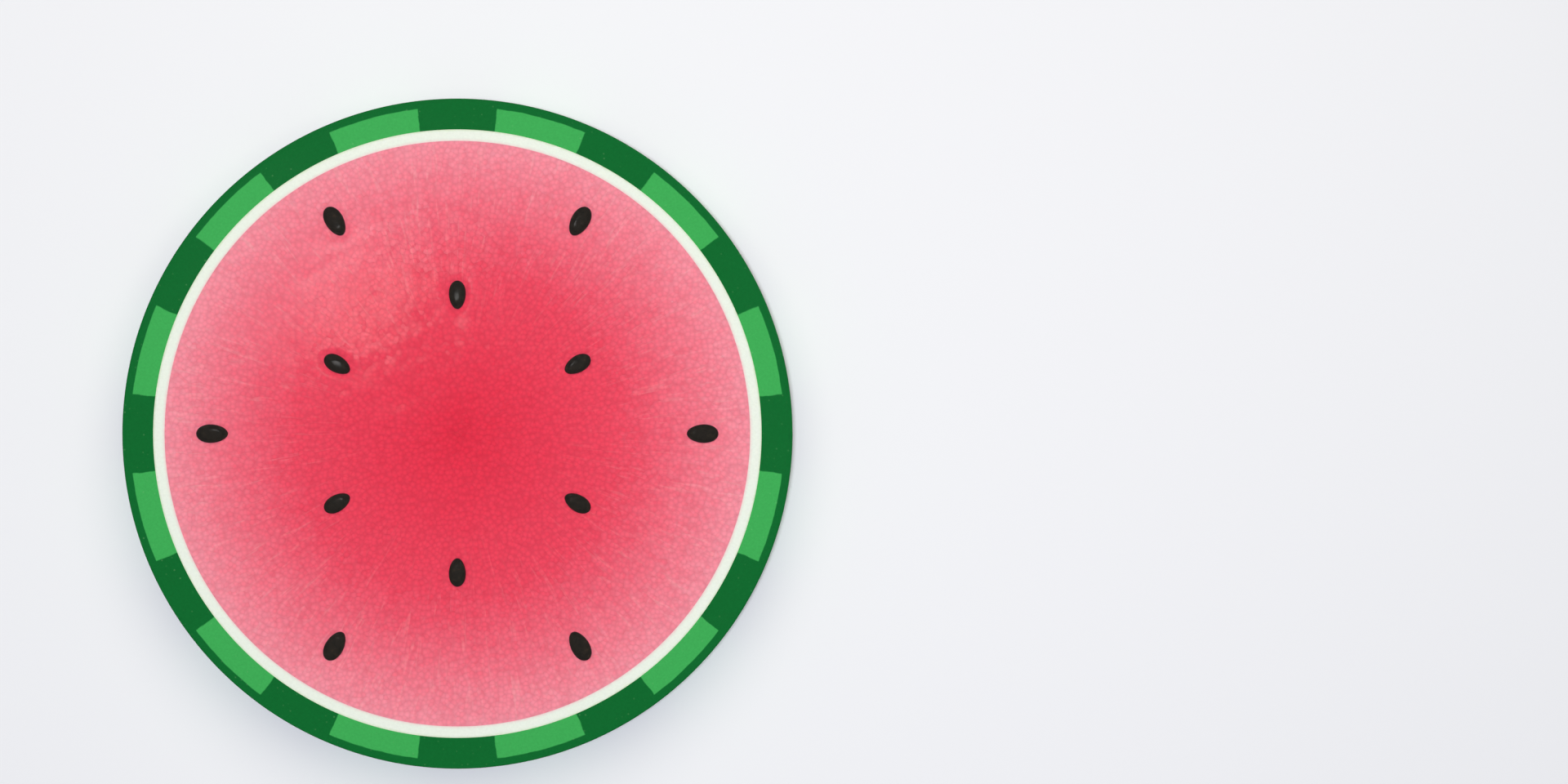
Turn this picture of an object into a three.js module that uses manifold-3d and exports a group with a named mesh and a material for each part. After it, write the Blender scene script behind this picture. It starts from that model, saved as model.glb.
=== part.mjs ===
// A round of watermelon: one slice cut square across the fruit, just below its widest place, lying on its
// lower cut face. Millimetres, +Z up. The origin is the centre of the lower cut face, and +Z runs along the
// fruit's own axis, from blossom end to stem end.
//
// The slice grew as one piece. Its three tissues, the green rind, the pale pith and the red flesh, are one
// closed solid each and meet face to face. The seeds that the knife laid bare are fused with the flesh.

import * as THREE from "three";
import { mergeVertices } from "three/addons/utils/BufferGeometryUtils.js";
import Module from "manifold-3d";

// The fruit, and where it was cut.
const FRUIT_RADIUS = 120; // skin at the widest place, where the upper cut is
const FRUIT_STRETCH = 1.15; // the fruit's length over its width
const SLICE_THICKNESS = 25;
const RIND_THICKNESS = 11.1; // skin and green tissue
const PITH_THICKNESS = 4.1; // pale tissue between the rind and the flesh
const EDGE_BEVEL = 0.5; // the skin's edge, where the knife passed

// Seeds. A ring of seeds has evenly spaced members that point at the fruit's axis.
const SEEDS_PER_RING = 6;
const SEED_THICKNESS = 2.6;
const SEED_TAPER = 0.1; // how much narrower the pointed end is than the blunt one
const SEED_FLATNESS = 4; // power of the curve from a seed's crown to its rim: 2 is round, more is flatter
const OUTER_RING = { radius: 87.8, turn: 0, length: 11.4, width: 6.7 };
const INNER_RING = { radius: 49.7, turn: 30, length: 10.3, width: 6.1 };
const UPPER_SEED_SINK = 0.3; // middle plane of a seed below the upper cut
const LOWER_SEED_SINK = 1.6; // middle plane of a seed above the lower cut, clear of what the slice lies on
const LOWER_TURN = 17; // the lower cut opens other seeds of the same rows, turned by this much
// How far each of them is out of place, at most, in degrees and millimetres, and how fast that changes from
// one seed to the next, in radians.
const LOWER_WOBBLE = { turn: 6, turnStep: 2.4, radius: 4, radiusStep: 1.7 };

// The pocket of flesh round each seed.
const POCKET_MARGIN = 1.1;
const UPPER_POCKET_DEPTH = 0.55;
const LOWER_POCKET_DEPTH = 1.9;

// Facets.
const TURN_STEPS = 144;
const WALL_STEPS = 3;
const SEED_STEPS = { around: 12, along: 8 };
const POCKET_STEPS = { around: 20, along: 4 };
const SAME_POINT = 1e-4; // points closer than this are one

const wasm = await Module();
wasm.setup();

const toRadians = THREE.MathUtils.degToRad;

// Radius of a tissue's outer surface at height z: an ellipsoid about the fruit's axis, widest at the
// upper cut.
function tissueRadius(widest, z) {
  const below = (SLICE_THICKNESS - z) / (FRUIT_STRETCH * widest);
  return widest * Math.sqrt(1 - below * below);
}

// The tissue's outer surface in profile, from the lower cut to the upper, as (radius, height) points.
function wallProfile(widest, lowest = 0, highest = SLICE_THICKNESS) {
  const points = [];
  for (let i = 0; i <= WALL_STEPS; i++) {
    const z = THREE.MathUtils.lerp(lowest, highest, i / WALL_STEPS);
    points.push(new THREE.Vector2(tissueRadius(widest, z), z));
  }
  return points;
}

// A solid turned from a profile about +Z. LatheGeometry itself turns about +Y.
function turned(profile) {
  return new THREE.LatheGeometry(profile, TURN_STEPS).rotateX(Math.PI / 2);
}

// A ring of tissue. Its profile goes up the outer wall, down the inner one and back along the lower cut.
function tissueRing(outerWall, innerWidest) {
  const inner = wallProfile(innerWidest).reverse();
  return turned([...outerWall, ...inner, outerWall[0].clone()]);
}

// The skin in profile, with the small bevels that the knife leaves at both cuts.
function skinProfile() {
  const wall = wallProfile(FRUIT_RADIUS, EDGE_BEVEL, SLICE_THICKNESS - EDGE_BEVEL);
  const lower = new THREE.Vector2(tissueRadius(FRUIT_RADIUS, 0) - EDGE_BEVEL, 0);
  const upper = new THREE.Vector2(FRUIT_RADIUS - EDGE_BEVEL, SLICE_THICKNESS);
  return [lower, ...wall, upper];
}

function rindGeometry() {
  return tissueRing(skinProfile(), FRUIT_RADIUS - RIND_THICKNESS);
}

function pithGeometry() {
  const outer = FRUIT_RADIUS - RIND_THICKNESS;
  return tissueRing(wallProfile(outer), outer - PITH_THICKNESS);
}

function plainFleshGeometry() {
  const wall = wallProfile(FRUIT_RADIUS - RIND_THICKNESS - PITH_THICKNESS);
  const bottom = new THREE.Vector2(0, 0);
  const top = new THREE.Vector2(0, SLICE_THICKNESS);
  return turned([bottom, ...wall, top]);
}

// A three.js geometry as a manifold-3d solid, and back.
function toSolid(geometry) {
  const bare = geometry.clone();
  bare.deleteAttribute("normal");
  bare.deleteAttribute("uv");
  const merged = mergeVertices(bare, SAME_POINT);
  const mesh = new wasm.Mesh({
    numProp: 3,
    vertProperties: new Float32Array(merged.attributes.position.array),
    triVerts: new Uint32Array(merged.index.array),
  });
  return new wasm.Manifold(mesh);
}

function toGeometry(solid) {
  const mesh = solid.getMesh();
  const geometry = new THREE.BufferGeometry();
  geometry.setAttribute("position", new THREE.BufferAttribute(mesh.vertProperties, 3));
  geometry.setIndex(new THREE.BufferAttribute(mesh.triVerts, 1));
  geometry.computeVertexNormals();
  return geometry;
}

// A flat egg, its long axis on X and its pointed end at -X: a unit sphere's points, carried up and down.
// In plan it is an ellipse whose width grows from the pointed end to the blunt one by the taper. From crown
// to rim, reach ^ flatness + height ^ flatness = 1, so both sides are nearly level and the rim is round.
function flatEgg(length, width, thickness, steps) {
  const geometry = new THREE.SphereGeometry(1, steps.around, steps.along).rotateZ(-Math.PI / 2);
  const position = geometry.attributes.position;
  for (let i = 0; i < position.count; i++) {
    const along = position.getX(i);
    const up = position.getZ(i);
    const reach = Math.sqrt(Math.max(0, 1 - up * up));
    const height = Math.sign(up) * (1 - reach ** SEED_FLATNESS) ** (1 / SEED_FLATNESS);
    position.setXYZ(
      i,
      (along * length) / 2,
      (position.getY(i) * (1 + SEED_TAPER * along) * width) / 2,
      (height * thickness) / 2,
    );
  }
  return geometry;
}

// Puts a seed or a pocket in its place: its long axis along the radius, its pointed end towards the
// fruit's axis.
function placed(geometry, seed, height) {
  const turn = toRadians(seed.turn);
  return geometry
    .rotateZ(turn)
    .translate(seed.radius * Math.cos(turn), seed.radius * Math.sin(turn), height);
}

// The members of a ring of seeds, evenly spaced.
function ringOfSeeds(ring) {
  const step = 360 / SEEDS_PER_RING;
  return Array.from({ length: SEEDS_PER_RING }, (_, i) => ({ ...ring, turn: ring.turn + i * step }));
}

const upperSeeds = [...ringOfSeeds(OUTER_RING), ...ringOfSeeds(INNER_RING)];

// The lower cut passes the same rows of seeds at another height, so each is a little out of place.
const lowerSeeds = upperSeeds.map((seed, i) => ({
  ...seed,
  turn: seed.turn + LOWER_TURN + LOWER_WOBBLE.turn * Math.sin(LOWER_WOBBLE.turnStep * i),
  radius: seed.radius + LOWER_WOBBLE.radius * Math.cos(LOWER_WOBBLE.radiusStep * i),
}));

function seedSolid(seed, height) {
  return toSolid(placed(flatEgg(seed.length, seed.width, SEED_THICKNESS, SEED_STEPS), seed, height));
}

function pocketSolid(seed, depth, height) {
  const length = seed.length + 2 * POCKET_MARGIN;
  const width = seed.width + 2 * POCKET_MARGIN;
  return toSolid(placed(flatEgg(length, width, 2 * depth, POCKET_STEPS), seed, height));
}

// The flesh, with a shallow pocket round each bared seed, and the seeds rooted in it.
function fleshGeometry() {
  let flesh = toSolid(plainFleshGeometry());
  for (const seed of upperSeeds) {
    flesh = flesh
      .subtract(pocketSolid(seed, UPPER_POCKET_DEPTH, SLICE_THICKNESS))
      .add(seedSolid(seed, SLICE_THICKNESS - UPPER_SEED_SINK));
  }
  for (const seed of lowerSeeds) {
    flesh = flesh
      .subtract(pocketSolid(seed, LOWER_POCKET_DEPTH, 0))
      .add(seedSolid(seed, LOWER_SEED_SINK));
  }
  return toGeometry(flesh);
}

function piece(name, geometry, color, roughness) {
  const material = new THREE.MeshStandardMaterial({ color, roughness, metalness: 0 });
  const mesh = new THREE.Mesh(geometry, material);
  mesh.name = name;
  return mesh;
}

const slice = new THREE.Group();
slice.name = "watermelon_round_slice";
slice.add(
  piece("rind", rindGeometry(), 0x166a32, 0.35),
  piece("pith", pithGeometry(), 0xedf4e6, 0.6),
  piece("flesh_with_seeds", fleshGeometry(), 0xe84a60, 0.4),
);

export default slice;
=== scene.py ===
"""A round of watermelon: one slice cut square across the fruit, lying on its lower cut face.

Its flesh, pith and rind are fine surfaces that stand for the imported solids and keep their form, and each
bared seed is a piece of its own. Everything is in metres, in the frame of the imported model.
"""

import itertools
import math

import bpy
import numpy as np
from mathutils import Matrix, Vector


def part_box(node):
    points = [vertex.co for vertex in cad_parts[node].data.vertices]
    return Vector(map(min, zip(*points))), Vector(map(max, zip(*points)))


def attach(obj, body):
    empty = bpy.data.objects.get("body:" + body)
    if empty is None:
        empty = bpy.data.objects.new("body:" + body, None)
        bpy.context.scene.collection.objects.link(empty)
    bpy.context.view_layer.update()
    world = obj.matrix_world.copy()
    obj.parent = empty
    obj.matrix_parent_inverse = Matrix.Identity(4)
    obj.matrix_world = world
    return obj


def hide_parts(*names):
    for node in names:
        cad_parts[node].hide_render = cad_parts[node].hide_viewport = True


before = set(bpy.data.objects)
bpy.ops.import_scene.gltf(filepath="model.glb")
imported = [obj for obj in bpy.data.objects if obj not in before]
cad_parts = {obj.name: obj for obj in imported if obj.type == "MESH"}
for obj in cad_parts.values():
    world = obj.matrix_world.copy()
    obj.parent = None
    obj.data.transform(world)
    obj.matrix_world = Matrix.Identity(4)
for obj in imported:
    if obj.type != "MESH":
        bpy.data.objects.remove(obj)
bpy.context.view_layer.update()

MM = 0.001

# The slice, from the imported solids.
RIND_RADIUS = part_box("rind")[1].x
PITH_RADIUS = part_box("pith")[1].x
FLESH_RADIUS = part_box("flesh_with_seeds")[1].x
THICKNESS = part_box("rind")[1].z
FRUIT_STRETCH = 1.15  # the fruit's length over its width
EDGE_RADIUS = 0.5 * MM  # of the skin's edges, rounded where the knife passed

# Seeds, by the solids' own rule: evenly spaced rings that point at the fruit's axis.
SEEDS_PER_RING = 6
SEED_THICKNESS = 2.6 * MM
SEED_TAPER = 0.1  # how much narrower the pointed end is than the blunt one
SEED_FLATNESS = 4  # power of the curve from a seed's crown to its rim: 2 is round, more is flatter
RINGS = {
    "outer": {"radius": 87.8 * MM, "turn": 0, "length": 11.4 * MM, "width": 6.7 * MM},
    "inner": {"radius": 49.7 * MM, "turn": 30, "length": 10.3 * MM, "width": 6.1 * MM},
}
UPPER_SEED_SINK = 0.35 * MM  # middle plane of a seed below the upper cut, and its crown below the solid's
LOWER_SEED_SINK = 1.6 * MM  # middle plane of a seed above the lower cut
LOWER_TURN = 17  # degrees that the seeds bared by the lower cut are turned by
# How far each of them is out of place, at most, in degrees and metres, and how fast that changes from one
# seed to the next, in radians.
LOWER_WOBBLE = {"turn": 6, "turn_step": 2.4, "radius": 4 * MM, "radius_step": 1.7}
SEED_TILT = math.radians(0.8)  # at most, about each of a seed's own two axes
TILT_DRAW = 11  # number of the tilts' random draw

# A seed's groove and its two dimples, in shares of its half length, half width and half thickness.
GROOVE = {"depth": 0.09, "reach": 0.78, "width": 0.05}
DIMPLE = {"depth": 0.25, "along": -0.8, "across": 0.17, "width": 0.1}

# The pocket of flesh round each seed. Its floor and its rounded lip end at shares of its half size.
POCKET_MARGIN = 1.1 * MM
POCKET_FLOOR_END = 0.62
POCKET_LIP_END = 1.12
UPPER_POCKET_DEPTH = 0.55 * MM
LOWER_POCKET_DEPTH = 1.9 * MM

# Low relief, each with the number of its random draw. Fibres are noise on a circle with a radius of so many
# cells, and they rise between two shares of the flesh's radius. Dents fade out over a share of the thickness.
KNIFE_WAY = math.radians(24)  # from +X to the way that the knife went
BROAD_SWELLS = {"height": 0.035 * MM, "width": 19 * MM, "draw": 1}
SMALL_SWELLS = {"height": 0.01 * MM, "width": 7 * MM, "draw": 2}
KNIFE_STROKES = {"height": 0.006 * MM, "width": 3.5 * MM, "length": 90 * MM, "draw": 6}
CELL_CLUSTERS = {"height": 0.005 * MM, "width": 2.6 * MM, "draw": 3}
FIBRES = {"height": 0.008 * MM, "circle": 14, "length": 40 * MM, "rise": (0.1, 0.4), "draw": 4}
FLESH_FADE = 0.97  # share of the flesh's radius from which its clusters and fibres fade out
SKIN_DENTS = {"depth": 0.22 * MM, "width": 17 * MM, "fade": 0.1, "draw": 5}

# The rind's light stripes, which the cut shows as blocks.
STRIPES = 12
STRIPE_WIDTH = 16  # degrees
SKIN_THICKNESS = 2.95 * MM  # dark tissue outside the light blocks

# How finely the pieces are divided.
UPPER_CELLS = 252  # across the flesh's upper face
LOWER_CELLS = UPPER_CELLS // 2
TURN_STEPS = 1008
EDGE_STEPS = 5
SKIN_STEPS = 24
INNER_WALL_STEPS = 4  # down the wall between two tissues
PITH_CUT_STEPS = {"upper": 8, "lower": 5}
RIND_CUT_STEPS = {"upper": 16, "lower": 8}
SEED_STEPS = (36, 48)  # from crown to crown, and around
SHARP_ANGLE = math.radians(40)

# Where the slice lies in the camera's frame, in pixels from its upper left corner, and the lens.
FRAME_SIZE = (1920, 960)
SLICE_CENTRE_PX = (560, 531)
SLICE_RADIUS_PX = 410.5
LENS = 100  # millimetres
SENSOR = 36

LATTICE = 512  # random values in a noise lattice
SAME_HEIGHT = 1e-7  # heights closer than this are one


# ---------------------------------------------------------------- shapes


def noise(points, cell, draw):
    """Smooth noise from -1 to 1 at an array of points of three coordinates: random values at the corners of
    a lattice with that cell size, joined by smoothsteps."""
    generator = np.random.default_rng(draw)
    shuffle = generator.permutation(LATTICE)
    values = generator.uniform(-1, 1, LATTICE)
    scaled = points / cell
    low = np.floor(scaled).astype(int)
    share = scaled - low
    share = share * share * (3 - 2 * share)
    total = np.zeros(len(points))
    for corner in itertools.product((0, 1), repeat=3):
        i, j, k = (low + corner).T % LATTICE
        weight = np.where(corner, share, 1 - share).prod(axis=1)
        total += weight * values[shuffle[(shuffle[(shuffle[i] + j) % LATTICE] + k) % LATTICE]]
    return total


def smoothstep(low, high, x):
    """0 below low, 1 above high, and a smooth S between."""
    share = np.clip((x - low) / (high - low), 0, 1)
    return share * share * (3 - 2 * share)


def tissue_radius(widest, z):
    """Radius of a tissue's outer surface at height z: an ellipsoid about the fruit's axis, FRUIT_STRETCH
    times as long as it is wide, whose widest circle is the upper cut."""
    below = (THICKNESS - z) / (FRUIT_STRETCH * widest)
    return widest * np.sqrt(1 - below * below)


def disc_grid(cells):
    """A square grid carried onto the unit disc so that each square round its middle becomes a circle: a
    point's radius is its larger coordinate, and its angle runs evenly along that square's sides. Also the
    points' indices as a grid, and along its rim, anticlockwise."""
    side = np.linspace(-1, 1, cells + 1)
    u, v = np.meshgrid(side, side, indexing="ij")
    steep = abs(v) > abs(u)
    radius = np.where(steep, v, u)
    part = np.where(steep, u, v) / np.where(radius == 0, 1, radius)
    angle = np.where(steep, math.pi / 2 - math.pi / 4 * part, math.pi / 4 * part)
    index = np.arange((cells + 1) ** 2).reshape(cells + 1, cells + 1)
    rim = np.concatenate([index[-1, :-1], index[:0:-1, -1], index[0, :0:-1], index[:-1, 0]])
    return (radius * np.cos(angle)).ravel(), (radius * np.sin(angle)).ravel(), index, rim


def grid_faces(index):
    """Four-sided faces of a grid of indices, anticlockwise where its first direction turns to its second."""
    corners = [index[:-1, :-1], index[1:, :-1], index[1:, 1:], index[:-1, 1:]]
    return np.stack([c.ravel() for c in corners], axis=1)


def band_faces(upper, lower):
    """Four-sided faces between two closed rings of indices. They face outwards where the first is above."""
    return np.stack([upper, lower, np.roll(lower, -1), np.roll(upper, -1)], axis=1)


def make_piece(name, points, faces, materials, material_index=None):
    """A piece of the object from its points and faces, with its materials and, where given, which of them
    each face takes."""
    mesh = bpy.data.meshes.new(name)
    mesh.from_pydata(points.tolist(), [], faces)
    mesh.shade_smooth()
    mesh.set_sharp_from_angle(angle=SHARP_ANGLE)
    for material in materials:
        mesh.materials.append(material)
    if material_index is not None:
        mesh.polygons.foreach_set("material_index", material_index)
    piece = bpy.data.objects.new(name, mesh)
    bpy.context.scene.collection.objects.link(piece)
    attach(piece, "root")
    return piece


# ---------------------------------------------------------------- seeds and the pockets that they sit in


def ring_of_seeds(ring):
    """The seeds of one ring on the upper cut, evenly spaced."""
    turns = [ring["turn"] + i * 360 / SEEDS_PER_RING for i in range(SEEDS_PER_RING)]
    return [{**ring, "turn": turn} for turn in turns]


def lower_seed(seed, i):
    """The seed of the same row that the lower cut bares, which is turned on and a little out of place."""
    turn = LOWER_TURN + LOWER_WOBBLE["turn"] * math.sin(LOWER_WOBBLE["turn_step"] * i)
    shift = LOWER_WOBBLE["radius"] * math.cos(LOWER_WOBBLE["radius_step"] * i)
    return {**seed, "turn": seed["turn"] + turn, "radius": seed["radius"] + shift}


upper_seeds = [seed for ring in RINGS.values() for seed in ring_of_seeds(ring)]
lower_seeds = [lower_seed(seed, i) for i, seed in enumerate(upper_seeds)]


def pockets(x, y, seeds):
    """From 0 on the plain cut face to 1 on the floor of the pocket round each seed. A pocket is an egg in
    plan, as the seed is, a margin wider all round, and its lip is rounded over."""
    deepest = np.zeros_like(x)
    for seed in seeds:
        turn = math.radians(seed["turn"])
        along = x * math.cos(turn) + y * math.sin(turn) - seed["radius"]
        across = y * math.cos(turn) - x * math.sin(turn)
        half_length = seed["length"] / 2 + POCKET_MARGIN
        half_width = seed["width"] / 2 + POCKET_MARGIN
        swell = 1 + SEED_TAPER * np.clip(along / half_length, -1, 1)
        reach = np.hypot(along / half_length, across / (half_width * swell))
        deepest = np.maximum(deepest, 1 - smoothstep(POCKET_FLOOR_END, POCKET_LIP_END, reach))
    return deepest


def seed_points(length, width, thickness, rings, around):
    """A flat egg whose rings run from the middle of its upper side, over the rim, to the middle of its lower
    side. From crown to rim, reach and height, each to the power of SEED_FLATNESS, add up to 1: they are the
    sine and cosine of t to the power of 2 over SEED_FLATNESS. Width grows from the pointed end at -X to the
    blunt one, a shallow groove runs along inside the rim, and the pointed end has two small dimples beside
    each other."""
    turns = np.arange(around) * 2 * math.pi / around
    t, a = np.meshgrid(np.linspace(0, math.pi, rings + 1)[1:-1], turns, indexing="ij")
    reach = np.sin(t) ** (2 / SEED_FLATNESS)
    rise = np.sign(np.cos(t)) * abs(np.cos(t)) ** (2 / SEED_FLATNESS)
    along = reach * np.cos(a)
    across = reach * np.sin(a)
    groove = GROOVE["depth"] * np.exp(-(((reach - GROOVE["reach"]) / GROOVE["width"]) ** 2))
    off_along = (along - DIMPLE["along"]) / DIMPLE["width"]
    off_across = (abs(across) - DIMPLE["across"]) / DIMPLE["width"]
    dimple = DIMPLE["depth"] * np.exp(-(off_along**2) - off_across**2)
    height = rise * (1 - groove - dimple)
    spread = across * (1 + SEED_TAPER * along)
    body = np.stack([along * length, spread * width, height * thickness], axis=2) / 2
    ends = np.array([[0, 0, thickness / 2], [0, 0, -thickness / 2]])
    return np.concatenate([body.reshape(-1, 3), ends])


def seed_faces(rings, around):
    """Bands between a seed's rings, and a fan at each end."""
    index = np.arange((rings - 1) * around).reshape(rings - 1, around)
    bands = np.concatenate([band_faces(index[i], index[i + 1]) for i in range(rings - 2)])
    first, last = index[0], index[-1]
    top = np.full_like(first, index.size)
    upper = np.stack([top, first, np.roll(first, -1)], axis=1)
    lower = np.stack([top + 1, np.roll(last, -1), last], axis=1)
    return bands.tolist() + upper.tolist() + lower.tolist()


def turned_about(points, axis, angle):
    """Points turned about the X, Y or Z axis, 0, 1 or 2, by an angle in radians."""
    first, second = [(1, 2), (2, 0), (0, 1)][axis]
    made = points.copy()
    made[:, first] = points[:, first] * math.cos(angle) - points[:, second] * math.sin(angle)
    made[:, second] = points[:, first] * math.sin(angle) + points[:, second] * math.cos(angle)
    return made


def make_seed(name, seed, height, tilt, material):
    """A seed in its place, its pointed end towards the fruit's axis, tipped a little about its own two
    axes."""
    points = seed_points(seed["length"], seed["width"], SEED_THICKNESS, *SEED_STEPS)
    points = turned_about(turned_about(points, 0, tilt[0]), 1, tilt[1])
    points += (seed["radius"], 0, height)
    points = turned_about(points, 2, math.radians(seed["turn"]))
    make_piece(name, points, seed_faces(*SEED_STEPS), [material])


def make_seeds(material):
    """All bared seeds of the upper and the lower cut."""
    generator = np.random.default_rng(TILT_DRAW)
    names = [f"{ring}_{i + 1}" for ring in RINGS for i in range(SEEDS_PER_RING)]
    for face, seeds, height in (
        ("upper", upper_seeds, THICKNESS - UPPER_SEED_SINK),
        ("lower", lower_seeds, LOWER_SEED_SINK),
    ):
        for name, seed in zip(names, seeds):
            tilt = generator.uniform(-1, 1, 2) * SEED_TILT
            make_seed(f"seed_{face}_{name}", seed, height, tilt, material)


# ---------------------------------------------------------------- the slice's tissues


def swells(x, y):
    """Slow swells and faint straight strokes that the knife leaves in a cut face, the same across all three
    tissues. Strokes are noise across the knife's way that hardly changes along it."""
    points = np.stack([x, y, np.zeros_like(x)], axis=1)
    along = x * math.cos(KNIFE_WAY) + y * math.sin(KNIFE_WAY)
    across = y * math.cos(KNIFE_WAY) - x * math.sin(KNIFE_WAY)
    drawn_out = np.stack(
        [across / KNIFE_STROKES["width"], along / KNIFE_STROKES["length"], np.zeros_like(x)], axis=1
    )
    broad = BROAD_SWELLS["height"] * noise(points, BROAD_SWELLS["width"], BROAD_SWELLS["draw"])
    small = SMALL_SWELLS["height"] * noise(points, SMALL_SWELLS["width"], SMALL_SWELLS["draw"])
    strokes = KNIFE_STROKES["height"] * noise(drawn_out, 1, KNIFE_STROKES["draw"])
    return broad + small + strokes


def flesh_relief(x, y):
    """The flesh's own relief on top of the swells: clusters of juice cells, and fibres that run out from the
    fruit's axis. Fibres rise gradually away from the axis, and both fade out at the pith."""
    radius = np.hypot(x, y)
    turn = np.arctan2(y, x)
    share = radius / FLESH_RADIUS
    points = np.stack([x, y, np.zeros_like(x)], axis=1)
    circle = FIBRES["circle"]
    outwards = np.stack([np.cos(turn) * circle, np.sin(turn) * circle, radius / FIBRES["length"]], axis=1)
    clusters = CELL_CLUSTERS["height"] * noise(points, CELL_CLUSTERS["width"], CELL_CLUSTERS["draw"])
    fibres = FIBRES["height"] * noise(outwards, 1, FIBRES["draw"]) * smoothstep(*FIBRES["rise"], share)
    return (1 - smoothstep(FLESH_FADE, 1, share)) * (clusters + fibres)


def make_flesh(material):
    """The flesh as one closed surface: a fine disc for the upper face, a wall that follows the fruit's inner
    ellipsoid, and a disc half as fine for the lower face. The upper rim has two steps for each of the
    wall's. The lower rim lies on what the slice rests on, and nothing on the lower face reaches below it."""
    x, y, index, rim = disc_grid(UPPER_CELLS)
    x, y = x * FLESH_RADIUS, y * FLESH_RADIUS
    z = THICKNESS + swells(x, y) + flesh_relief(x, y) - UPPER_POCKET_DEPTH * pockets(x, y, upper_seeds)
    upper = np.stack([x, y, z], axis=1)

    u, v, low_index, low_rim = disc_grid(LOWER_CELLS)
    low_radius = tissue_radius(FLESH_RADIUS, 0)
    x, y = u * low_radius, v * low_radius
    relief = np.maximum(0, swells(x, y) + flesh_relief(x, y))
    z = relief + LOWER_POCKET_DEPTH * pockets(x, y, lower_seeds)
    z[low_rim] = 0
    lower = np.stack([x, y, z], axis=1)

    steps = len(low_rim)
    heights = THICKNESS * np.array([2 / 3, 1 / 3])
    radii = tissue_radius(FLESH_RADIUS, heights)
    wall = np.concatenate([
        np.stack([u[low_rim] * radius, v[low_rim] * radius, np.full(steps, height)], axis=1)
        for radius, height in zip(radii, heights)
    ])

    first, second = np.arange(len(wall)).reshape(-1, steps) + len(upper)
    low_index = low_index + len(upper) + len(wall)
    low_rim = low_rim + len(upper) + len(wall)
    step_down = [rim[::2], first, np.roll(first, -1), np.roll(rim[::2], -1), rim[1::2]]
    faces = (
        grid_faces(index).tolist()
        + np.stack(step_down, axis=1).tolist()
        + band_faces(first, second).tolist()
        + band_faces(second, low_rim).tolist()
        + grid_faces(low_index)[:, ::-1].tolist()
    )
    piece = make_piece("flesh", np.concatenate([upper, wall, lower]), faces, [material])
    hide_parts("flesh_with_seeds")


def turned_ring(profile):
    """Points and faces of a closed profile of (radius, height) carried round the fruit's axis. The profile
    runs down the outer side, in along the lower cut, up the inner side and out along the upper cut."""
    turn = np.arange(TURN_STEPS) * 2 * math.pi / TURN_STEPS
    r, z = profile[:, :1], profile[:, 1:]
    points = np.stack([r * np.cos(turn), r * np.sin(turn), z + 0 * turn], axis=2)
    index = np.arange(points.shape[0] * TURN_STEPS).reshape(-1, TURN_STEPS)
    faces = np.concatenate([band_faces(a, b) for a, b in zip(index, np.roll(index, -1, axis=0))])
    return points.reshape(-1, 3), faces


def line(start, end, steps):
    """Points evenly along a straight stretch of profile, without its last."""
    share = np.arange(steps)[:, None] / steps
    return np.array(start) * (1 - share) + np.array(end) * share


def wall_line(widest, top, bottom, steps):
    """Points along a tissue's outer surface from one height to another, without the last."""
    z = top + (bottom - top) * np.arange(steps) / steps
    return np.stack([tissue_radius(widest, z), z], axis=1)


def rounded_edge(centre, start):
    """A quarter round of the skin's edge in profile, clockwise about its centre from an angle in radians,
    without its last point."""
    angle = start - np.linspace(0, math.pi / 2, EDGE_STEPS + 1)[:-1]
    return np.array(centre) + EDGE_RADIUS * np.stack([np.cos(angle), np.sin(angle)], axis=1)


def with_cut_relief(points):
    """Adds the knife's swells to the points that lie on the upper cut. The lower cut of the pith and the
    rind, which the slice rests on, stays flat."""
    made = points.copy()
    relief = swells(points[:, 0], points[:, 1])
    made[:, 2] += np.where(points[:, 2] > THICKNESS - SAME_HEIGHT, relief, 0)
    return made


def make_pith(material):
    """The pale ring between the flesh and the rind."""
    outer_low = tissue_radius(PITH_RADIUS, 0)
    inner_low = tissue_radius(FLESH_RADIUS, 0)
    profile = np.concatenate([
        wall_line(PITH_RADIUS, THICKNESS, 0, INNER_WALL_STEPS),
        line((outer_low, 0), (inner_low, 0), PITH_CUT_STEPS["lower"]),
        wall_line(FLESH_RADIUS, 0, THICKNESS, INNER_WALL_STEPS),
        line((FLESH_RADIUS, THICKNESS), (PITH_RADIUS, THICKNESS), PITH_CUT_STEPS["upper"]),
    ])
    points, faces = turned_ring(profile)
    piece = make_piece("pith_ring", with_cut_relief(points), faces.tolist(), [material])
    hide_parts("pith")


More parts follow.
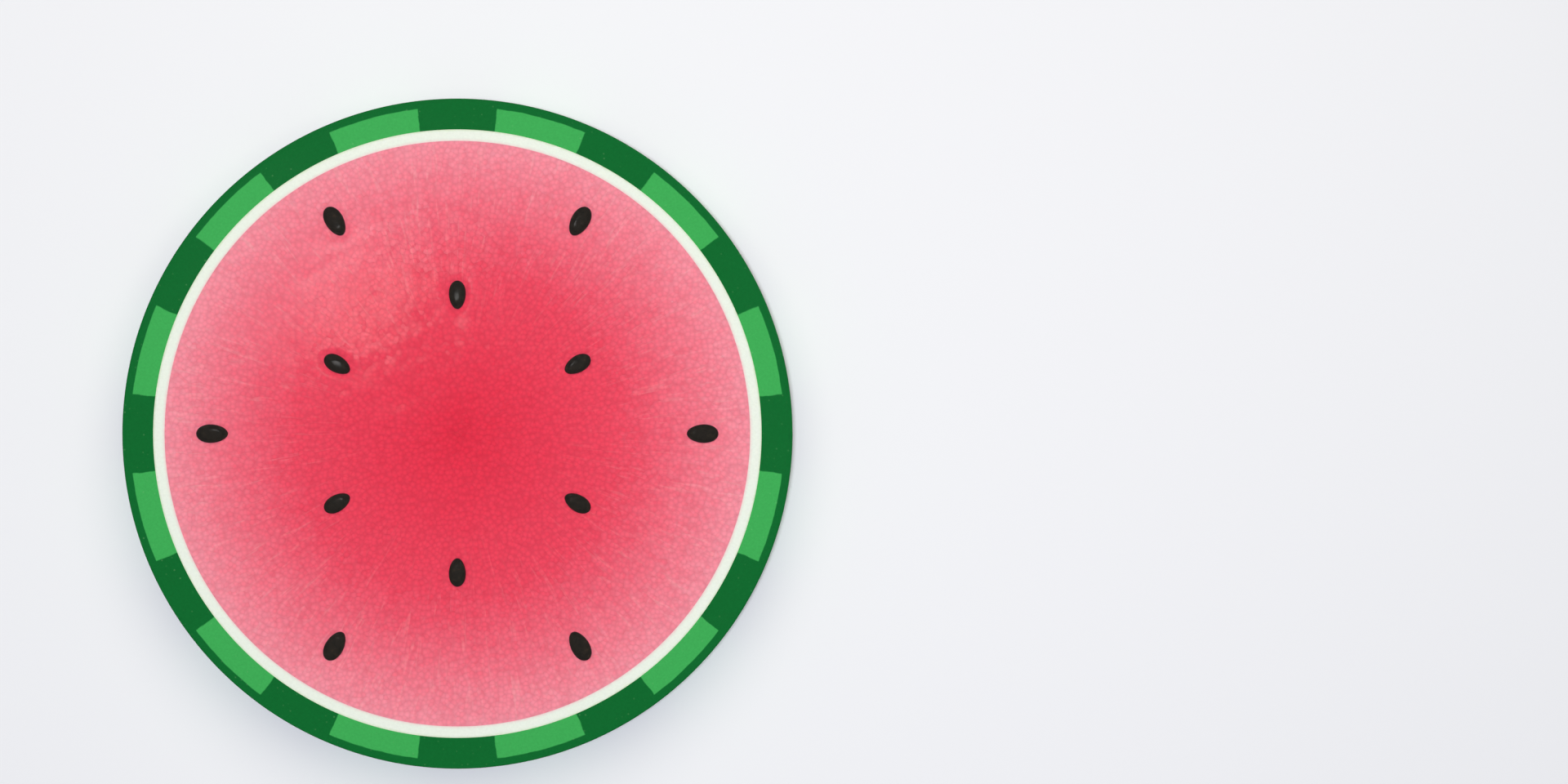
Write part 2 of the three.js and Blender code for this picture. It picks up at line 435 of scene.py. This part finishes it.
def make_rind(cut_material, skin_material):
    """The green ring: its two cut faces with their rounded outer edges, and the waxy skin between them, which
    has slow shallow dents."""
    top_edge = THICKNESS - EDGE_RADIUS
    low_outer = tissue_radius(RIND_RADIUS, EDGE_RADIUS)
    low_inner = tissue_radius(PITH_RADIUS, 0)
    outside = np.concatenate([
        rounded_edge((RIND_RADIUS - EDGE_RADIUS, top_edge), math.pi / 2),
        wall_line(RIND_RADIUS, top_edge, EDGE_RADIUS, SKIN_STEPS),
        rounded_edge((low_outer - EDGE_RADIUS, EDGE_RADIUS), 0),
    ])
    inside = np.concatenate([
        line((low_outer - EDGE_RADIUS, 0), (low_inner, 0), RIND_CUT_STEPS["lower"]),
        wall_line(PITH_RADIUS, 0, THICKNESS, INNER_WALL_STEPS),
        line((PITH_RADIUS, THICKNESS), (RIND_RADIUS - EDGE_RADIUS, THICKNESS), RIND_CUT_STEPS["upper"]),
    ])
    points, faces = turned_ring(np.concatenate([outside, inside]))
    band = np.arange(len(faces)) // TURN_STEPS
    is_skin = (band >= EDGE_STEPS) & (band < EDGE_STEPS + SKIN_STEPS)

    points = with_cut_relief(points)
    from_edge = np.minimum(points[:, 2], THICKNESS - points[:, 2]) / THICKNESS
    on_wall = np.hypot(points[:, 0], points[:, 1]) > low_outer - EDGE_RADIUS
    share = 0.5 + 0.5 * noise(points, SKIN_DENTS["width"], SKIN_DENTS["draw"])
    dent = SKIN_DENTS["depth"] * smoothstep(0, SKIN_DENTS["fade"], from_edge) * on_wall * share
    points[:, :2] *= (1 - dent / RIND_RADIUS)[:, None]

    materials = [cut_material, skin_material]
    piece = make_piece("rind_ring", points, faces.tolist(), materials, is_skin.astype(np.int32))
    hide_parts("rind")


# ---------------------------------------------------------------- materials


def linear(code, other=None, share=0.0):
    """An sRGB hex colour, or the one that share of the way on to another, as linear red, green, blue and
    alpha."""
    first, second = (
        np.array([int(text[i : i + 2], 16) / 255 for i in (1, 3, 5)]) for text in (code, other or code)
    )
    mixed = first * (1 - share) + second * share
    return (*np.where(mixed <= 0.04045, mixed / 12.92, ((mixed + 0.055) / 1.055) ** 2.4).tolist(), 1.0)


def add(tree, kind, inputs=None, stops=None, **settings):
    """Adds a node to a tree. inputs gives its sockets, by name or number, a value, another node, whose first
    output is then linked, or one of that node's outputs. stops are those of a colour ramp, and settings are
    the node's own properties."""
    made = tree.nodes.new("ShaderNode" + kind)
    for name, value in settings.items():
        setattr(made, name, value)
    if stops:
        elements = made.color_ramp.elements
        elements.remove(elements[1])
        elements[0].position, elements[0].color = stops[0]
        for place, colour in stops[1:]:
            elements.new(place).color = colour
    for name, value in (inputs or {}).items():
        value = value.outputs[0] if isinstance(value, bpy.types.Node) else value
        if isinstance(value, bpy.types.NodeSocket):
            tree.links.new(value, made.inputs[name])
        else:
            made.inputs[name].default_value = value
    return made


def make_material(name, surface):
    """A material whose surface is the shader that surface(tree) adds."""
    made = bpy.data.materials.new(name)
    made.use_nodes = True
    made.node_tree.nodes.clear()
    add(made.node_tree, "OutputMaterial", {"Surface": surface(made.node_tree)})
    return made


def layer_radius(tree, point):
    """The radius that a point's layer of the fruit has at the upper cut. All layers are ellipsoids of one
    stretch, so it is the point's distance from the middle of the upper cut, with heights divided by the
    stretch."""
    shift = (0, 0, -THICKNESS / FRUIT_STRETCH)
    scale = (1, 1, 1 / FRUIT_STRETCH)
    below = add(tree, "Mapping", {"Vector": point, "Location": shift, "Scale": scale})
    return add(tree, "VectorMath", {0: below}, operation="LENGTH").outputs["Value"]


def spokes(tree, point, radius, per_turn, length, detail=3, waver=0.5):
    """Noise drawn out along the radius: per_turn wavering streaks round the axis, each about length long. The
    noise is read on a circle that is per_turn cells round, and across it at the radius over the length."""
    spread = per_turn / (2 * math.pi)
    flat = add(tree, "VectorMath", {0: point, 1: (1, 1, 0)}, operation="MULTIPLY")
    heading = add(tree, "VectorMath", {0: flat}, operation="NORMALIZE")
    around = add(tree, "VectorMath", {0: heading, 1: (spread, spread, 0)}, operation="MULTIPLY")
    out = add(tree, "Math", {0: radius, 1: 1 / length}, operation="MULTIPLY")
    place = add(tree, "CombineXYZ", {"Z": out})
    vector = add(tree, "VectorMath", {0: around, 1: place}, operation="ADD")
    return add(tree, "TexNoise", {
        "Vector": vector, "Scale": 1.0, "Detail": detail, "Roughness": 0.6, "Distortion": waver,
    })


def flesh_surface(tree):
    """Watermelon flesh, sliced: big thin-walled juice cells, cut open and wet with their own juice. It is
    deepest red round the axis and pales towards the pith. Each cell has a tint of its own and is broken at
    its own slant, soft streaks and a few pale strands run outwards, and the film of juice gives a clear soft
    gloss. Real cells are under half a millimetre wide; these are drawn as their clusters, 1.6 mm wide, so
    that they show."""
    core, middle, edge, pale_strand = "#E93049", "#F04A61", "#FB94A3", "#F8BDBB"
    turning = 0.55  # share of the flesh's radius at which it has its middle colour
    steepness = 0.25  # of the cells' slants

    point = add(tree, "TexCoord").outputs["Object"]
    radius = layer_radius(tree, point)
    mottle = add(tree, "TexNoise", {"Vector": point, "Scale": 1 / (12 * MM), "Detail": 3.0})
    grit = add(tree, "TexNoise", {"Vector": point, "Scale": 1 / (0.5 * MM), "Detail": 2.0})
    fibres = spokes(tree, point, radius, 150, 30 * MM)
    strands = spokes(tree, point, radius, 300, 13 * MM, detail=1, waver=1.2)
    cells = add(tree, "TexVoronoi", {"Vector": point, "Scale": 1 / (1.6 * MM), "Randomness": 1.0})
    own = add(tree, "SeparateColor", {0: cells.outputs["Color"]})

    share = add(tree, "Math", {0: radius, 1: 1 / FLESH_RADIUS}, operation="MULTIPLY")
    for source, reach in ((mottle, 0.03), (fibres, 0.045), (own, 0.03)):
        shift = add(tree, "MapRange", {"Value": source, "To Min": -reach, "To Max": reach})
        share = add(tree, "Math", {0: share, 1: shift}, operation="ADD")
    inner = [(turning * s, linear(core, middle, s)) for s in (0, 0.5, 1)]
    outer = [(turning + (1 - turning) * s, linear(middle, edge, s)) for s in (0.25, 0.5, 0.75, 1)]
    colour = add(tree, "ValToRGB", {"Fac": share}, stops=inner + outer)
    outwards = add(tree, "MapRange", {
        "Value": radius, "From Min": 0.3 * FLESH_RADIUS, "From Max": 0.9 * FLESH_RADIUS, "To Max": 0.2,
    })
    pale = add(tree, "MapRange", {"Value": strands, "From Min": 0.58, "From Max": 0.75})
    pale = add(tree, "Math", {0: pale, 1: outwards}, operation="MULTIPLY")
    colour = add(tree, "Mix", {0: pale, 6: colour, 7: linear(pale_strand)}, data_type="RGBA").outputs[2]
    # Painted shade: each juice cell is coloured lighter in its middle and darker towards its edges, where the
    # domed cells dip between each other.
    painted_cell_shade = add(tree, "MapRange", {
        "Value": cells, "From Min": 0.2, "From Max": 0.7, "To Min": 1.03, "To Max": 0.92,
    })
    colour = add(tree, "HueSaturation", {"Color": colour, "Value": painted_cell_shade})

    half = (0.5, 0.5, 0.5)
    from_middle = add(tree, "VectorMath", {0: point, 1: cells.outputs["Position"]}, operation="SUBTRACT")
    lean = add(tree, "VectorMath", {0: cells.outputs["Color"], 1: half}, operation="SUBTRACT")
    slant = add(tree, "VectorMath", {0: from_middle, 1: lean}, operation="DOT_PRODUCT").outputs["Value"]
    height = add(tree, "Math", {0: slant, 1: steepness}, operation="MULTIPLY")
    for source, rise in ((cells, -0.07 * MM), (fibres, 0.12 * MM), (grit, 0.04 * MM)):
        height = add(tree, "Math", {0: source, 1: rise, 2: height}, operation="MULTIPLY_ADD")

    # The film of juice evens out nearly all of what is broken, and has nearly all of the gloss.
    broken = add(tree, "Bump", {"Height": height, "Strength": 1.0, "Distance": 1.0})
    film = add(tree, "Bump", {"Height": height, "Strength": 0.035, "Distance": 1.0})
    return add(tree, "BsdfPrincipled", {
        "Base Color": colour,
        "Roughness": 0.45,
        "IOR": 1.1,
        "Subsurface Weight": 0.15,
        "Subsurface Radius": (1.0, 0.35, 0.25),
        "Subsurface Scale": 2.0 * MM,
        "Coat Weight": 0.9,
        "Coat Roughness": 0.09,
        "Coat IOR": 1.33,
        "Normal": broken,
        "Coat Normal": film,
    })


def pith_surface(tree):
    """Watermelon pith, sliced: dense pale tissue, moist and finely grained. It takes a breath of pink from
    the flesh on its inner side and of green from the rind on its outer side."""
    pink, pinkish, cream, greenish = "#F6DCD6", "#EFF0E4", "#F0F6E9", "#DCEBCB"
    point = add(tree, "TexCoord").outputs["Object"]
    radius = layer_radius(tree, point)
    grain = add(tree, "TexNoise", {"Vector": point, "Scale": 1 / (0.9 * MM), "Detail": 3.0})
    wander = spokes(tree, point, radius, 260, 10 * MM)
    shift = add(tree, "MapRange", {"Value": wander, "To Min": -0.5 * MM, "To Max": 0.5 * MM})
    place = add(tree, "Math", {0: radius, 1: shift}, operation="ADD")
    across = add(tree, "MapRange", {"Value": place, "From Min": FLESH_RADIUS, "From Max": PITH_RADIUS})
    colour = add(tree, "ValToRGB", {"Fac": across}, stops=[
        (0.0, linear(pink)),
        (0.16, linear(pinkish)),
        (0.3, linear(cream)),
        (0.8, linear(cream)),
        (1.0, linear(greenish)),
    ])
    shade = add(tree, "MapRange", {"Value": grain, "To Min": 0.92, "To Max": 1.05})
    colour = add(tree, "HueSaturation", {"Color": colour, "Value": shade})
    bump = add(tree, "Bump", {"Height": grain, "Strength": 0.3, "Distance": 0.1 * MM})
    return add(tree, "BsdfPrincipled", {
        "Base Color": colour,
        "Roughness": 0.5,
        "IOR": 1.38,
        "Subsurface Weight": 0.15,
        "Subsurface Radius": (1.0, 0.9, 0.7),
        "Subsurface Scale": 1.5 * MM,
        "Coat Weight": 0.3,
        "Coat Roughness": 0.25,
        "Coat IOR": 1.33,
        "Normal": bump,
    })


def stripe_distance(tree, point):
    """Degrees from the middle of the nearest light stripe. Stripes lie half a step round from +X."""
    parts = add(tree, "SeparateXYZ", {0: point})
    turn = add(tree, "Math", {0: parts.outputs["Y"], 1: parts.outputs["X"]}, operation="ARCTAN2")
    steps = add(tree, "Math", {0: turn, 1: STRIPES / (2 * math.pi)}, operation="MULTIPLY")
    beside = add(tree, "Math", {0: steps, 1: 1.0, 2: 0.0}, operation="WRAP")
    middle = add(tree, "Math", {0: beside, 1: 0.5}, operation="SUBTRACT")
    off = add(tree, "Math", {0: middle}, operation="ABSOLUTE")
    return add(tree, "Math", {0: off, 1: 360 / STRIPES}, operation="MULTIPLY")


def rind_cut_surface(tree):
    """Watermelon rind, sliced: firm moist green tissue, dark under the skin and between the stripes, light
    where a stripe is cut through. Its fine cells show as a close grain, and strands that feed the flesh are
    cut across as pale dots. It cuts cleaner than the flesh and holds less juice, so its gloss is fainter."""
    dark_green, light_green, strand_green = "#0F692E", "#3FAC56", "#8FCB8E"
    half_stripe = STRIPE_WIDTH / 2
    skin_side = RIND_RADIUS - SKIN_THICKNESS  # radius at which the light blocks end

    point = add(tree, "TexCoord").outputs["Object"]
    radius = layer_radius(tree, point)
    grain = add(tree, "TexNoise", {"Vector": point, "Scale": 1 / (0.8 * MM), "Detail": 4.0})
    mottle = add(tree, "TexNoise", {"Vector": point, "Scale": 1 / (5 * MM), "Detail": 3.0})
    strands = add(tree, "TexVoronoi", {"Vector": point, "Scale": 1 / (2.2 * MM), "Randomness": 1.0})

    off = stripe_distance(tree, point)
    ragged = add(tree, "MapRange", {"Value": mottle, "To Min": -0.3, "To Max": 0.3})
    off = add(tree, "Math", {0: off, 1: ragged}, operation="ADD")
    inside = add(tree, "MapRange", {
        "Value": off,
        "From Min": half_stripe - 0.1,
        "From Max": half_stripe + 0.1,
        "To Min": 1.0,
        "To Max": 0.0,
    })
    wander = add(tree, "MapRange", {"Value": mottle, "To Min": -0.25 * MM, "To Max": 0.25 * MM})
    place = add(tree, "Math", {0: radius, 1: wander}, operation="ADD")
    within = add(tree, "MapRange", {
        "Value": place,
        "From Min": skin_side - 0.15 * MM,
        "From Max": skin_side + 0.15 * MM,
        "To Min": 1.0,
        "To Max": 0.0,
    })
    light = add(tree, "Math", {0: inside, 1: within}, operation="MULTIPLY")
    greens = {0: light, 6: linear(dark_green), 7: linear(light_green)}
    colour = add(tree, "Mix", greens, data_type="RGBA").outputs[2]

    own = add(tree, "SeparateColor", {0: strands.outputs["Color"]})
    strength = add(tree, "MapRange", {"Value": own, "From Min": 0.4, "From Max": 1.0, "To Max": 0.16})
    dots = add(tree, "MapRange", {
        "Value": strands, "From Min": 0.06, "From Max": 0.2, "To Min": 1.0, "To Max": 0.0,
    })
    dots = add(tree, "Math", {0: dots, 1: strength}, operation="MULTIPLY")
    colour = add(tree, "Mix", {0: dots, 6: colour, 7: linear(strand_green)}, data_type="RGBA").outputs[2]
    shade = add(tree, "MapRange", {"Value": grain, "To Min": 0.86, "To Max": 1.12})
    colour = add(tree, "HueSaturation", {"Color": colour, "Value": shade})
    bump = add(tree, "Bump", {"Height": grain, "Strength": 0.3, "Distance": 0.1 * MM})
    return add(tree, "BsdfPrincipled", {
        "Base Color": colour,
        "Roughness": 0.45,
        "IOR": 1.1,
        "Coat Weight": 0.4,
        "Coat Roughness": 0.14,
        "Coat IOR": 1.33,
        "Normal": bump,
    })


def rind_skin_surface(tree):
    """Watermelon skin: a smooth hard rind under natural wax. Dark and light green bands run from stem end to
    blossom end. Their edges are torn into small flames, both are flecked, and the light ones are netted with
    fine dark veins. Bands, flecks and veins are drawn out along the fruit. The wax gives a satin gloss with
    a faint bloom."""
    dark_green, dark_fleck, vein_green = "#054A1F", "#0F6D30", "#126E32"
    light_green, light_fleck, wax_bloom = "#349445", "#58A75F", "#B9D6BE"
    half_stripe = STRIPE_WIDTH / 2
    bend = 7 * MM  # how far the net is pulled about by the flames

    point = add(tree, "TexCoord").outputs["Object"]
    along = add(tree, "Mapping", {"Vector": point, "Scale": (1, 1, 0.5)})
    flames = add(tree, "TexNoise", {
        "Vector": along, "Scale": 1 / (8 * MM), "Detail": 5.0, "Roughness": 0.62,
    })
    flecks = add(tree, "TexNoise", {
        "Vector": along, "Scale": 1 / (2.4 * MM), "Detail": 4.0, "Roughness": 0.6,
    })
    clouds = add(tree, "TexNoise", {"Vector": point, "Scale": 1 / (26 * MM), "Detail": 2.0})
    pores = add(tree, "TexNoise", {"Vector": point, "Scale": 1 / (1.1 * MM), "Detail": 2.0})

    off = stripe_distance(tree, point)
    for source, reach in ((flames, 7.0), (flecks, 2.5)):
        shift = add(tree, "MapRange", {"Value": source, "To Min": -reach, "To Max": reach})
        off = add(tree, "Math", {0: off, 1: shift}, operation="ADD")
    light = add(tree, "MapRange", {
        "Value": off,
        "From Min": half_stripe - 0.25,
        "From Max": half_stripe + 0.25,
        "To Min": 1.0,
        "To Max": 0.0,
    })
    pulled = {0: flames.outputs["Color"], 1: (bend, bend, bend), 2: along}
    bent = add(tree, "VectorMath", pulled, operation="MULTIPLY_ADD")
    net = add(tree, "TexVoronoi", {"Vector": bent, "Scale": 1 / (5 * MM)}, feature="DISTANCE_TO_EDGE")
    veins = add(tree, "MapRange", {
        "Value": net, "From Min": 0.03, "From Max": 0.1, "To Min": 1.0, "To Max": 0.0,
    })
    broken = add(tree, "MapRange", {"Value": flecks, "From Min": 0.38, "From Max": 0.6, "To Max": 0.6})
    veins = add(tree, "Math", {0: veins, 1: broken}, operation="MULTIPLY")

    fleck = add(tree, "MapRange", {"Value": flecks, "From Min": 0.35, "From Max": 0.65})
    darks = {0: fleck, 6: linear(dark_green), 7: linear(dark_fleck)}
    dark = add(tree, "Mix", darks, data_type="RGBA").outputs[2]
    lights = {0: fleck, 6: linear(light_green), 7: linear(light_fleck)}
    pale = add(tree, "Mix", lights, data_type="RGBA").outputs[2]
    pale = add(tree, "Mix", {0: veins, 6: pale, 7: linear(vein_green)}, data_type="RGBA").outputs[2]
    colour = add(tree, "Mix", {0: light, 6: dark, 7: pale}, data_type="RGBA").outputs[2]
    bloom = add(tree, "MapRange", {"Value": clouds, "From Min": 0.45, "From Max": 0.8, "To Max": 0.07})
    colour = add(tree, "Mix", {0: bloom, 6: colour, 7: linear(wax_bloom)}, data_type="RGBA").outputs[2]
    satin = add(tree, "MapRange", {"Value": clouds, "To Min": 0.24, "To Max": 0.4})
    bump = add(tree, "Bump", {"Height": pores, "Strength": 0.1, "Distance": 0.1 * MM})
    return add(tree, "BsdfPrincipled", {
        "Base Color": colour,
        "Roughness": satin,
        "IOR": 1.2,
        "Coat Weight": 0.1,
        "Coat Roughness": 0.14,
        "Normal": bump,
    })


def seed_coat_surface(tree):
    """Ripe watermelon seed coat: thin hard shell, near black with brown showing through in flecks, smooth
    and wet with juice, so that its crown gleams."""
    black, dark_brown, brown = "#1A1510", "#231D17", "#3A2C1F"
    point = add(tree, "TexCoord").outputs["Object"]
    flecks = add(tree, "TexNoise", {
        "Vector": point, "Scale": 1 / (1.6 * MM), "Detail": 3.0, "Roughness": 0.6,
    })
    colour = add(tree, "ValToRGB", {"Fac": flecks}, stops=[
        (0.35, linear(black)),
        (0.6, linear(dark_brown)),
        (0.8, linear(brown)),
    ])
    bump = add(tree, "Bump", {"Height": flecks, "Strength": 0.2, "Distance": 0.05 * MM})
    return add(tree, "BsdfPrincipled", {
        "Base Color": colour,
        "Roughness": 0.34,
        "IOR": 1.45,
        "Coat Weight": 0.9,
        "Coat Roughness": 0.1,
        "Coat IOR": 1.36,
        "Normal": bump,
    })


# ---------------------------------------------------------------- stage, light and camera

# The floor and the backdrop. Between two distances from the middle the paper turns into the backdrop.
BACKDROP = "#E1E3E7"
PAPER = "#F4F4F7"
FLOOR_WIDTH = 8.0
PAPER_END = (0.4, 0.6)

# Light from all round, as linear colour. Lamps stand in metres, with power in watts.
AROUND = {"Color": (0.78, 0.93, 1.0, 1.0), "Strength": 0.128}
STRIPS = 4
STRIP_DISTANCE = 1.6
BACK_STRIP = {"height": 0.7, "power": 0.4}
FRONT_STRIP = {"height": 0.39, "power": 0.14}


def floor_surface(tree):
    """Seamless paper: matte, and too fine in its fibres to show. Far out it turns into the backdrop's own
    light, so that no edge shows from low down."""
    start, end = PAPER_END
    point = add(tree, "TexCoord").outputs["Object"]
    away = add(tree, "VectorMath", {0: point}, operation="LENGTH").outputs["Value"]
    paper = add(tree, "BsdfPrincipled", {"Base Color": linear(PAPER), "Roughness": 0.9, "IOR": 1.2})
    glow = add(tree, "Emission", {"Color": linear(BACKDROP), "Strength": 1.0})
    stretch = {"Value": away, "From Min": start, "From Max": end}
    far = add(tree, "MapRange", stretch, interpolation_type="SMOOTHSTEP")
    return add(tree, "MixShader", {0: far, 1: paper, 2: glow})


def make_floor():
    """A plain pale sheet."""
    half = FLOOR_WIDTH / 2
    corners = [(-half, -half, 0), (half, -half, 0), (half, half, 0), (-half, half, 0)]
    mesh = bpy.data.meshes.new("floor")
    mesh.from_pydata(corners, [], [(0, 1, 2, 3)])
    mesh.materials.append(make_material("seamless_paper", floor_surface))
    floor = bpy.data.objects.new("floor", mesh)
    bpy.context.scene.collection.objects.link(floor)


def make_world():
    """Pale, slightly cool light from all round, and the backdrop where the camera sees past the floor."""
    world = bpy.data.worlds.new("studio")
    world.use_nodes = True
    tree = world.node_tree
    tree.nodes.clear()
    seen = add(tree, "LightPath").outputs["Is Camera Ray"]
    around = add(tree, "Background", AROUND)
    backdrop = add(tree, "Background", {"Color": linear(BACKDROP), "Strength": 1.0})
    both = add(tree, "MixShader", {0: seen, 1: around, 2: backdrop})
    add(tree, "OutputWorld", {"Surface": both})
    bpy.context.scene.world = world


def make_lamp(name, place, target, power, glossy=True, **settings):
    """An area lamp at a place, pointed at a target. settings are the lamp's own properties."""
    lamp = bpy.data.lights.new(name, "AREA")
    lamp.energy = power
    for key, value in settings.items():
        setattr(lamp, key, value)
    made = bpy.data.objects.new(name, lamp)
    bpy.context.scene.collection.objects.link(made)
    x, y, z = np.array(target) - np.array(place)
    made.location = place
    made.rotation_euler = (math.atan2(math.hypot(x, y), -z), 0, math.atan2(-x, y))
    made.visible_glossy = glossy
    return made


def make_lamps():
    """A lamp with a grid straight overhead makes the pool of light on the paper. A big warm softbox leans
    over from behind and softens the shadow in front. A small lamp high on the left is mirrored as the soft
    glare on the flesh. Low strips all round, of which those behind are higher, are seen only where the wet
    flesh, the seeds and the waxed skin mirror them."""
    middle = (0, 0, THICKNESS)
    make_lamp(
        "overhead", place=(0.07, 0, 3), target=(0.07, 0, 0), power=17.4, glossy=False,
        shape="DISK", size=0.3, spread=math.radians(106), color=(0.876, 0.884, 0.985),
    )
    make_lamp(
        "softbox_behind", place=(0.09, 0.46, 1.16), target=middle, power=8.1, glossy=False,
        shape="DISK", size=1.6, color=(1.0, 0.945, 0.755),
    )
    glare = make_lamp(
        "glare", place=(-0.316, 0.117, 3), target=(-0.316, 0.117, 0), power=0.27,
        shape="ELLIPSE", size=0.17, size_y=0.06,
    )
    glare.rotation_euler.z = math.radians(28)
    for i in range(STRIPS):
        turn = (i + 0.5) * 2 * math.pi / STRIPS
        kind = BACK_STRIP if math.sin(turn) > 0 else FRONT_STRIP
        place = (STRIP_DISTANCE * math.cos(turn), STRIP_DISTANCE * math.sin(turn), kind["height"])
        strip = make_lamp(
            f"strip_{i + 1}", place, middle, kind["power"], shape="RECTANGLE", size=0.6, size_y=0.06
        )
        strip.visible_diffuse = False


def make_camera():
    """Straight above the floor. Where the slice lies in the frame gives its place across, and the lens and
    the slice's size in the frame give its distance from the upper cut face."""
    per_pixel = RIND_RADIUS / SLICE_RADIUS_PX
    data = bpy.data.cameras.new("camera")
    data.lens = LENS
    data.sensor_width = SENSOR
    camera = bpy.data.objects.new("camera", data)
    bpy.context.scene.collection.objects.link(camera)
    right = (FRAME_SIZE[0] / 2 - SLICE_CENTRE_PX[0]) * per_pixel
    up = (SLICE_CENTRE_PX[1] - FRAME_SIZE[1] / 2) * per_pixel
    above = LENS / SENSOR * FRAME_SIZE[0] * per_pixel
    camera.location = (right, up, THICKNESS + above)
    bpy.context.scene.camera = camera


# ---------------------------------------------------------------- the scene

bpy.context.scene.view_settings.view_transform = "Standard"
make_camera()
make_floor()
make_world()
make_lamps()

make_flesh(make_material("watermelon_flesh_cut", flesh_surface))
make_pith(make_material("watermelon_pith_cut", pith_surface))
make_rind(
    make_material("watermelon_rind_cut", rind_cut_surface),
    make_material("watermelon_skin_waxed", rind_skin_surface),
)
make_seeds(make_material("watermelon_seed_coat", seed_coat_surface))
